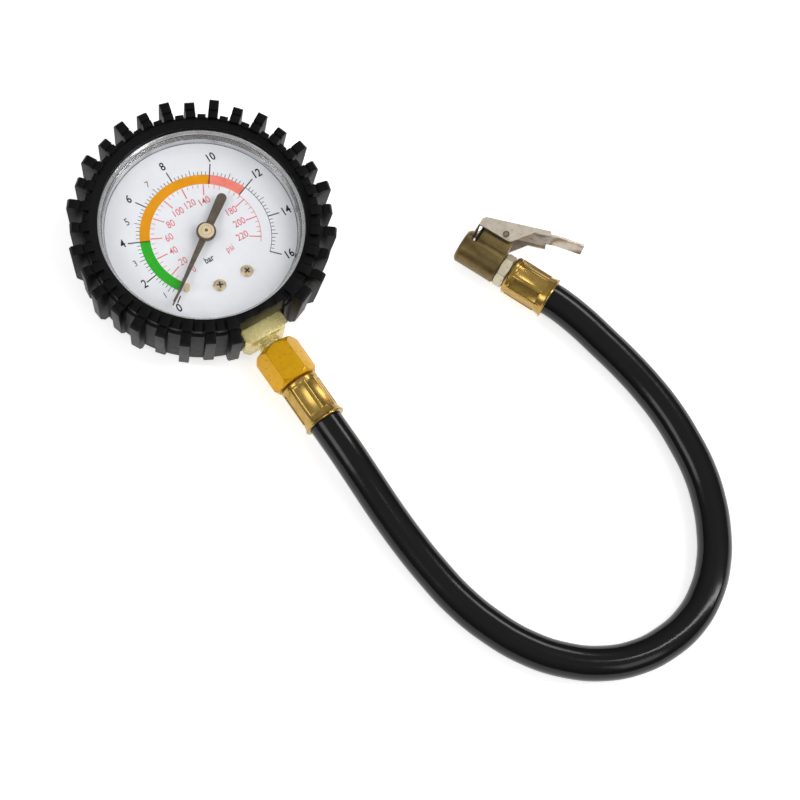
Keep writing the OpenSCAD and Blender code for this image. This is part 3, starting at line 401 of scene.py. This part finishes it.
# painted shade for the lever's claw, deep in the chuck's slot
claw_shade_nickel = make_finish("painted_shade_claw_nickel", "#2b241c", "#4a4032", 1.0, 0.45, 0.5)
rivet_steel = make_finish("dull_rivet_steel", "#7d7466", "#a89e8c", 1.0, 0.4, 1.0)
screw_metal = make_finish("pale_screw_metal", "#cdb48a", "#ecdcbc", 1.0, 0.32, 0.8)
print("white metals:", bright_steel.name, nickel_sheet.name)

# %% [markdown]
# The dial is white enamel paint on thin metal, and its print is flat ink. The
# inks are thin matte coats of paint, so they mirror nothing. The finer marks
# take a softer ink, because a thin line prints weaker than a broad one.

# %% Dial paints
dial_enamel = make_finish("white_dial_enamel", "#e0e2e7", "#e9ebef", 10.0, 0.45,
                          grain_mm=0.6, grain_depth_mm=0.002, shine=0.1)
black_ink = make_finish("black_dial_ink", "#161618", "#242426", 1.0, 0.6, shine=0.0)
soft_black_ink = make_finish("thin_black_dial_ink", "#38393c", "#5c5e62", 0.8, 0.6,
                             shine=0.0)
red_ink = make_finish("thin_red_dial_ink", "#d95256", "#e8888b", 0.8, 0.6, shine=0.0)
green_ink = make_finish("green_dial_ink", "#23a11d", "#2fae27", 4.0, 0.6, shine=0.0)
orange_ink = make_finish("orange_dial_ink", "#db8c00", "#e39a00", 4.0, 0.6, shine=0.0)
scarlet_ink = make_finish("scarlet_dial_ink", "#e0604f", "#f19a8b", 3.0, 0.6, shine=0.0)
print("dial paints:", dial_enamel.name, red_ink.name)

# %% [markdown]
# The window is a clear acrylic disc, coated against glare, so it mirrors little
# of the room. Its shader is glass for what the eye sees, and lets lamp light
# straight through, so the dial under it stays bright.

# %% Window glass
lens_acrylic = bpy.data.materials.new("clear_acrylic_window")
lens_acrylic.use_nodes = True
tree = lens_acrylic.node_tree
acrylic = tree.nodes["Principled BSDF"]
acrylic.inputs["Base Color"].default_value = (1, 1, 1, 1)
acrylic.inputs["Roughness"].default_value = 0.02
acrylic.inputs["IOR"].default_value = 1.3
acrylic.inputs["Transmission Weight"].default_value = 1.0
rays = add_node(tree, "ShaderNodeLightPath")
clear = add_node(tree, "ShaderNodeBsdfTransparent")
through = add_node(tree, "ShaderNodeMixShader", {0: rays.outputs["Is Shadow Ray"],
                                                 1: acrylic.outputs[0], 2: clear.outputs[0]})
tree.links.new(through.outputs[0], tree.nodes["Material Output"].inputs["Surface"])
print("window:", lens_acrylic.name)

# %% [markdown]
# The CAD nodes keep their shapes, and each gets the finish of its real piece.

# %% Finishes on the CAD nodes
node_finish = {
    moulded_rubber: ["boot"],
    seal_rubber: ["blowout_plug", "seal_washer", "chuck_seal", "hose_end_gauge",
                  "hose_end_chuck"],
    bright_steel: ["case", "bezel"],
    lens_acrylic: ["lens"],
    dial_enamel: ["dial"],
    screw_metal: ["dial_screws", "stop_pin"],
    pressed_brass: ["pinion", "sector_gear", "back_plate",
                    "front_plate", "pillars", "bourdon_tube", "tube_tip", "barb_gauge",
                    "ferrule_gauge", "ferrule_chuck", "core_depressor"],
    pale_brass: ["socket"],
    golden_brass: ["adapter_nut"],
    dull_brass: ["chuck_body"],
    nickel_brass: ["barb_chuck"],
    nickel_sheet: ["lever"],
    rivet_steel: ["lever_pin"],
    zinc_steel: ["case_screws", "movement_screws", "hairspring", "link", "lever_spring"],
    pointer_metal: ["pointer"],
    cap_metal: ["pointer_cap"],
    hose_rubber: ["hose"],
}
for finish, names in node_finish.items():
    for name in names:
        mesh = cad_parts[name].data
        mesh.materials.clear()
        mesh.materials.append(finish)
hose_curve.materials.append(hose_rubber)
print("CAD nodes finished:", sum(len(names) for names in node_finish.values()))

# %% [markdown]
# Real edges are never knife sharp: rubber leaves its mould with soft corners,
# and turned brass is broken with a file. A copy of a CAD node is merged into
# one skin, its flat triangles are joined up, and a bevel rounds its edges. The
# bevel's new faces can take a darker finish of their own, which paints shade
# along the edges. The copy then stands for the node.

# %% Rounded skins
MERGE_MM = 0.002
FLAT_DEG = 1.5
SHARP_DEG = 32
SMOOTH_DEG = 35


def round_edges(node, body, width_mm, edge_finish=None):
    skin = bpy.data.objects.new(node + "_skin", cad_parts[node].data.copy())
    bpy.context.scene.collection.objects.link(skin)
    pick(skin)
    bpy.ops.object.mode_set(mode="EDIT")
    bpy.ops.mesh.select_all(action="SELECT")
    bpy.ops.mesh.remove_doubles(threshold=MERGE_MM * MM)
    bpy.ops.mesh.dissolve_limited(angle_limit=radians(FLAT_DEG))
    bpy.ops.object.mode_set(mode="OBJECT")
    bevel = skin.modifiers.new("soft_edges", "BEVEL")
    bevel.width = width_mm * MM
    bevel.segments = 2
    bevel.limit_method = "ANGLE"
    bevel.angle_limit = radians(SHARP_DEG)
    bevel.miter_outer = "MITER_ARC"
    if edge_finish:
        skin.data.materials.append(edge_finish)
        bevel.material = 1
    bpy.ops.object.modifier_apply(modifier=bevel.name)
    bpy.ops.object.shade_smooth_by_angle(angle=radians(SMOOTH_DEG))
    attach(skin, body)
    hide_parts(node)
    print(skin.name, "faces:", len(skin.data.polygons))
    return skin


round_edges("boot", "gauge", 0.45)
# the dark bevel finish on these brass skins is painted shade along their edges
round_edges("adapter_nut", "gauge", 0.4, edge_shade_brass)
round_edges("barb_chuck", "gauge", 0.3, edge_shade_brass)
round_edges("socket", "gauge", 0.3)
lever_skin = round_edges("lever", "lever_body", 0.12)
round_edges("chuck_body", "gauge", 0.25, edge_shade_brass)
for ferrule in ("ferrule_gauge", "ferrule_chuck"):
    round_edges(ferrule, "gauge", 0.1)

# %% [markdown]
# The lever's claw sits deep in the chuck's slot, in shade.
# Its faces are picked by their place near the chuck's mouth, inside the lever's
# two cheeks, and take a darker nickel, which paints that shade.

# %% Shaded claw
CLAW_ALONG, CLAW_ACROSS, CLAW_HALF_WIDTH = 4.6, 14, 5.3
# the darker nickel on the claw faces is painted shade
lever_skin.data.materials.append(claw_shade_nickel)
claw_faces = 0
for face in lever_skin.data.polygons:
    reach = face.center / MM - CHUCK_MOUTH
    along = reach.x * cos(CHUCK_TURN) + reach.y * sin(CHUCK_TURN)
    across = reach.y * cos(CHUCK_TURN) - reach.x * sin(CHUCK_TURN)
    if along < CLAW_ALONG and across < CLAW_ACROSS and abs(reach.z) < CLAW_HALF_WIDTH:
        face.material_index = len(lever_skin.data.materials) - 1
        claw_faces += 1
print("claw faces:", claw_faces)

# %% [markdown]
# The lever turns on a pin whose end was riveted over. A fine dark ring of
# painted shade lies round the head, a thin torus half sunk in its top.

# %% Rivet ring
PIN_ALONG, PIN_ACROSS, PIN_TOP = 12.4, 9.9, 7.05
deselect_all()
bpy.ops.mesh.primitive_torus_add(location=chuck_point(PIN_ALONG, PIN_ACROSS, PIN_TOP) * MM,
                                 major_radius=0.95 * MM, minor_radius=0.13 * MM,
                                 major_segments=32, minor_segments=8)
rivet_ring = bpy.context.active_object
# the dark ring is painted shade round the rivet head
rivet_ring.data.materials.append(ridge_steel)
bpy.ops.object.shade_smooth()
settle(rivet_ring, "rivet_ring", "gauge")

# %% [markdown]
# The ring between the dial and the window is pressed with fine ridges, which
# break its reflection into bright and dark hoops. Each ridge is a thin torus
# half sunk into the slope, bright steel and a dark steel of painted shade by turns.

# %% Reflector ridges
SHELL_CENTRE = (-0.6 * MM, 2.2 * MM)
RING_FOOT_Z, RING_RISE = 20.1, 3.3
RING_FOOT_R, RING_SPREAD = 35.9, 0.3
RIDGE_WIRE_R = 0.17
RIDGES = 8
ridges = []
for i in range(RIDGES):
    share = (i + 0.5) / RIDGES
    deselect_all()
    bpy.ops.mesh.primitive_torus_add(
        location=(*SHELL_CENTRE, (RING_FOOT_Z + RING_RISE * share) * MM),
        major_radius=(RING_FOOT_R + RING_SPREAD * share) * MM,
        minor_radius=RIDGE_WIRE_R * MM, major_segments=144, minor_segments=6)
    # every second ridge takes the dark steel, which is painted shade
    bpy.context.active_object.data.materials.append(
        ridge_steel if i % 2 else bright_steel)
    ridges.append(bpy.context.active_object)
ridge_set = pick(join_all(ridges))
bpy.ops.object.shade_smooth()
settle(ridge_set, "reflector_ridges", "gauge")

# %% [markdown]
# The pale hub cap is turned: it has a fine ring and a centre dot where the
# arbor's end is peened over. Both are thin dark rings sunk in its top.

# %% Hub marks
CAP_TOP_Z = 23.0
hub_marks = []
for ring_r, wire_r in ((1.9, 0.06), (0.35, 0.3)):
    deselect_all()
    bpy.ops.mesh.primitive_torus_add(location=(0, 0, (CAP_TOP_Z - 0.5 * wire_r) * MM),
                                     major_radius=ring_r * MM, minor_radius=wire_r * MM,
                                     major_segments=40, minor_segments=8)
    bpy.context.active_object.data.materials.append(pointer_metal)
    hub_marks.append(bpy.context.active_object)
hub_mark_set = pick(join_all(hub_marks))
bpy.ops.object.shade_smooth()
settle(hub_mark_set, "hub_marks", "pointer_group")

# %% [markdown]
# The dial's print. Flat ink has almost no thickness, so each mark is a flat
# shape that gets a thickness of three hundredths of a millimetre, which keeps
# it clear of the enamel in the render.

# %% Ink thickness
DIAL_FACE_Z = 18.5
INK_MM = 0.03


def finish_print(piece, name, ink):
    pick(piece)
    bpy.ops.object.transform_apply(location=True, rotation=True, scale=True)
    thick = piece.modifiers.new("ink_thickness", "SOLIDIFY")
    thick.thickness = INK_MM * MM
    thick.offset = 1.0
    bpy.ops.object.modifier_apply(modifier=thick.name)
    piece.data.materials.clear()
    piece.data.materials.append(ink)
    return settle(piece, name, "gauge")


def around(angle, radius):
    return radius * cos(radians(angle)), radius * sin(radians(angle))


print("dial face at", DIAL_FACE_Z, "mm")

# %% [markdown]
# A tick is a plane of one millimetre, stretched to its length and width and
# turned to its angle. All the ticks of one kind are joined into one piece.

# %% Printed ticks
def print_ticks(name, marks, ink):
    """marks: (angle in degrees, inner radius, outer radius, width), in mm."""
    made = []
    for angle, inner, outer, width in marks:
        deselect_all()
        x, y = around(angle, (inner + outer) / 2 * MM)
        bpy.ops.mesh.primitive_plane_add(size=MM, location=(x, y, DIAL_FACE_Z * MM),
                                         rotation=(0, 0, radians(angle)))
        tick = bpy.context.active_object
        tick.scale = (outer - inner, width, 1)
        made.append(tick)
        bpy.ops.object.transform_apply(location=True, rotation=True, scale=True)
    return finish_print(join_all(made), name, ink)


print("ticks ready")

# %% [markdown]
# A coloured band is a part of a flat ring. A circle of fine steps is extruded
# and shrunk to the inner radius, and the faces past the wanted angle go. Half
# a degree for each step keeps the band's ends where the scale has them.

# %% Printed arcs
ARC_STEPS = 720


def print_arc(name, inner, outer, from_deg, to_deg, ink):
    """An arc of flat ink from one angle round to another, cut from a whole ring."""
    deselect_all()
    centre = (0, 0, DIAL_FACE_Z * MM)
    bpy.ops.mesh.primitive_circle_add(vertices=ARC_STEPS, radius=outer * MM,
                                      location=centre)
    arc = bpy.context.active_object
    arc.rotation_euler.z = radians(from_deg)
    bpy.ops.object.mode_set(mode="EDIT")
    bpy.ops.mesh.select_mode(type="VERT")
    bpy.ops.mesh.select_all(action="SELECT")
    bpy.ops.mesh.extrude_edges_move()
    bpy.ops.transform.resize(value=(inner / outer, inner / outer, 1),
                             center_override=centre)
    bpy.ops.mesh.select_mode(type="FACE")
    bpy.ops.mesh.select_all(action="DESELECT")
    bpy.ops.object.mode_set(mode="OBJECT")
    for face in arc.data.polygons:
        turn = degrees(atan2(face.center.y, face.center.x)) % 360
        face.select = turn > to_deg - from_deg
    bpy.ops.object.mode_set(mode="EDIT")
    bpy.ops.mesh.delete(type="FACE")
    bpy.ops.mesh.select_all(action="SELECT")
    bpy.ops.mesh.normals_make_consistent(inside=False)
    bpy.ops.mesh.select_mode(type="VERT")
    bpy.ops.object.mode_set(mode="OBJECT")
    return finish_print(arc, name, ink)


print("arcs ready")

# %% [markdown]
# The outer scale is in bar. Zero stands at the lower left, and each bar takes
# a little under seventeen degrees clockwise. The pointer's rest is a little
# past the scale's true start, so the green band starts there. Two close ticks
# frame the zero.

# %% Bar scale
SCALE_START_DEG = 225
DEG_PER_BAR = 16.875
ZERO_DEG = 217.5
BAND_IN, BAND_OUT = 20.25, 23.97
MAJOR_OUT, HALF_OUT, MINOR_OUT = 28.4, 26.2, 25.3
BROAD, THIN = 0.42, 0.24


def bar_angle(bar):
    return ZERO_DEG if bar <= 0 else SCALE_START_DEG - DEG_PER_BAR * bar


print_arc("green_band", BAND_IN, BAND_OUT, bar_angle(4), ZERO_DEG, green_ink)
print_arc("orange_band", BAND_IN, BAND_OUT, bar_angle(10), bar_angle(4), orange_ink)
print_arc("red_band", BAND_IN, BAND_OUT, bar_angle(12), bar_angle(10), scarlet_ink)
print_arc("outer_line", 23.85, 24.05, bar_angle(16), bar_angle(12), black_ink)
major = [(bar_angle(b), BAND_IN if b in (4, 10, 12) else BAND_OUT, MAJOR_OUT, BROAD)
         for b in range(2, 17, 2)]
major += [(zero_tick_deg, 25.6, 28.6, BROAD) for zero_tick_deg in (215.5, 218.6)]
print_ticks("bar_major_ticks", major, black_ink)
minor = [(bar_angle(step / 5), BAND_OUT, HALF_OUT if step % 10 == 5 else MINOR_OUT, THIN)
         for step in range(4, 80) if step % 10 != 0]
print_ticks("bar_minor_ticks", minor, soft_black_ink)

# %% [markdown]
# The inner scale is in pounds per square inch, in thin red ink. Its 160 is left
# out, because the pointer's tail rests on it.

# %% Inner scale
PSI_PER_BAR = 14.5038
PSI_HIDDEN = 160
PSI_OUT, PSI_MAJOR_IN, PSI_MINOR_IN = 20.1, 15.8, 18.7
PSI_THIN = 0.22


def psi_angle(psi):
    return SCALE_START_DEG - DEG_PER_BAR * (psi / PSI_PER_BAR)


psi_numbers = [p for p in range(20, 221, 20) if p != PSI_HIDDEN]
print_arc("inner_line", 19.95, 20.15, psi_angle(225), psi_angle(174), red_ink)
psi_major = [(psi_angle(p), PSI_MAJOR_IN, PSI_OUT, BROAD) for p in psi_numbers]
psi_major.append((216, PSI_MAJOR_IN, PSI_OUT, BROAD))
print_ticks("psi_major_ticks", psi_major, red_ink)
print_ticks("psi_minor_ticks", [(psi_angle(p), PSI_MINOR_IN, PSI_OUT, PSI_THIN)
                                for p in range(10, 221, 5) if p % 20], red_ink)

# %% [markdown]
# The numbers are plain type, made as text and turned into mesh. The face on
# the dial is narrow, so each number is squeezed sideways.

# %% Type
CAPITAL_SHARE = 0.7  # a capital's height as a share of the type's size
NARROWING = 0.8


def print_words(name, words, ink, bold=0.07):
    """words: (text, x, y, height) in mm; bold fattens each stroke by that much."""
    made = []
    for body, x, y, height in words:
        deselect_all()
        bpy.ops.object.text_add(location=(x * MM, y * MM, DIAL_FACE_Z * MM))
        word = bpy.context.active_object
        word.data.body = body
        word.data.size = height * MM / CAPITAL_SHARE
        word.data.align_x = "CENTER"
        word.data.align_y = "CENTER"
        word.data.resolution_u = 3
        word.data.offset = bold * MM
        word.scale = (NARROWING, 1, 1)
        bpy.ops.object.convert(target="MESH")
        word = bpy.context.active_object
        bpy.ops.object.transform_apply(location=True, rotation=True, scale=True)
        made.append(word)
    return finish_print(join_all(made), name, ink)


print("type ready")

# %% [markdown]
# Each scale's numbers stand on a circle of their own. The even bars are large,
# the odd ones small and weaker, and a few are nudged to clear a tick. The
# units' names stand under the hub.

# %% Numbers
FINE_BOLD = 0.02
bar_places = [(0, 221, 30.2), (2, bar_angle(2), 29.4), (4, bar_angle(4), 30.2)]
bar_places += [(b, bar_angle(b), 31.0) for b in (6, 8, 10, 12, 14)]
bar_places.append((16, bar_angle(16) + 1.6, 31.0))
print_words("bar_numbers", [(str(b), *around(angle, radius), 3.2)
                            for b, angle, radius in bar_places], black_ink)
small_places = ((1, 28.0, 2.4), (3, 27.9, 2.4), (5, 28.8, 2.9), (7, 28.8, 2.4))
print_words("bar_small_numbers", [(str(b), *around(bar_angle(b), radius), height)
                                  for b, radius, height in small_places],
            soft_black_ink, bold=FINE_BOLD)
psi_words = [(str(p), *around(psi_angle(p), 13.3), 2.7) for p in psi_numbers]
psi_words.append(("0", *around(222, 14.2), 2.4))
print_words("psi_numbers", psi_words, red_ink, bold=FINE_BOLD)
print_words("bar_word", [("bar", -3.9, -8.8, 2.4)], soft_black_ink)
print_words("psi_word", [("psi", 4.9, -8.8, 2.4)], red_ink, bold=FINE_BOLD)

# %% [markdown]
# The two screws that hold the dial have cross recesses, and the shade in them
# is painted: each cross is two flat dark bars that lie on the floor of the recess.

# %% Screw recesses
SCREW_X, SCREW_Y = 5.7, -19.5
SCREW_TURN_DEG = 20
RECESS_Z = DIAL_FACE_Z + 0.6
recess_shade_bars = []
for side in (-1, 1):
    for turn in (SCREW_TURN_DEG * side, SCREW_TURN_DEG * side + 90):
        deselect_all()
        bpy.ops.mesh.primitive_cube_add(
            size=MM, location=(side * SCREW_X * MM, SCREW_Y * MM, RECESS_Z * MM))
        bar = bpy.context.active_object
        bar.scale = (2.5, 0.66, 0.08)
        bar.rotation_euler.z = radians(turn)
        # the dark ink on these bars is painted shade in the recess
        bar.data.materials.append(soft_black_ink)
        recess_shade_bars.append(bar)
settle(join_all(recess_shade_bars), "screw_recess_shade", "gauge")
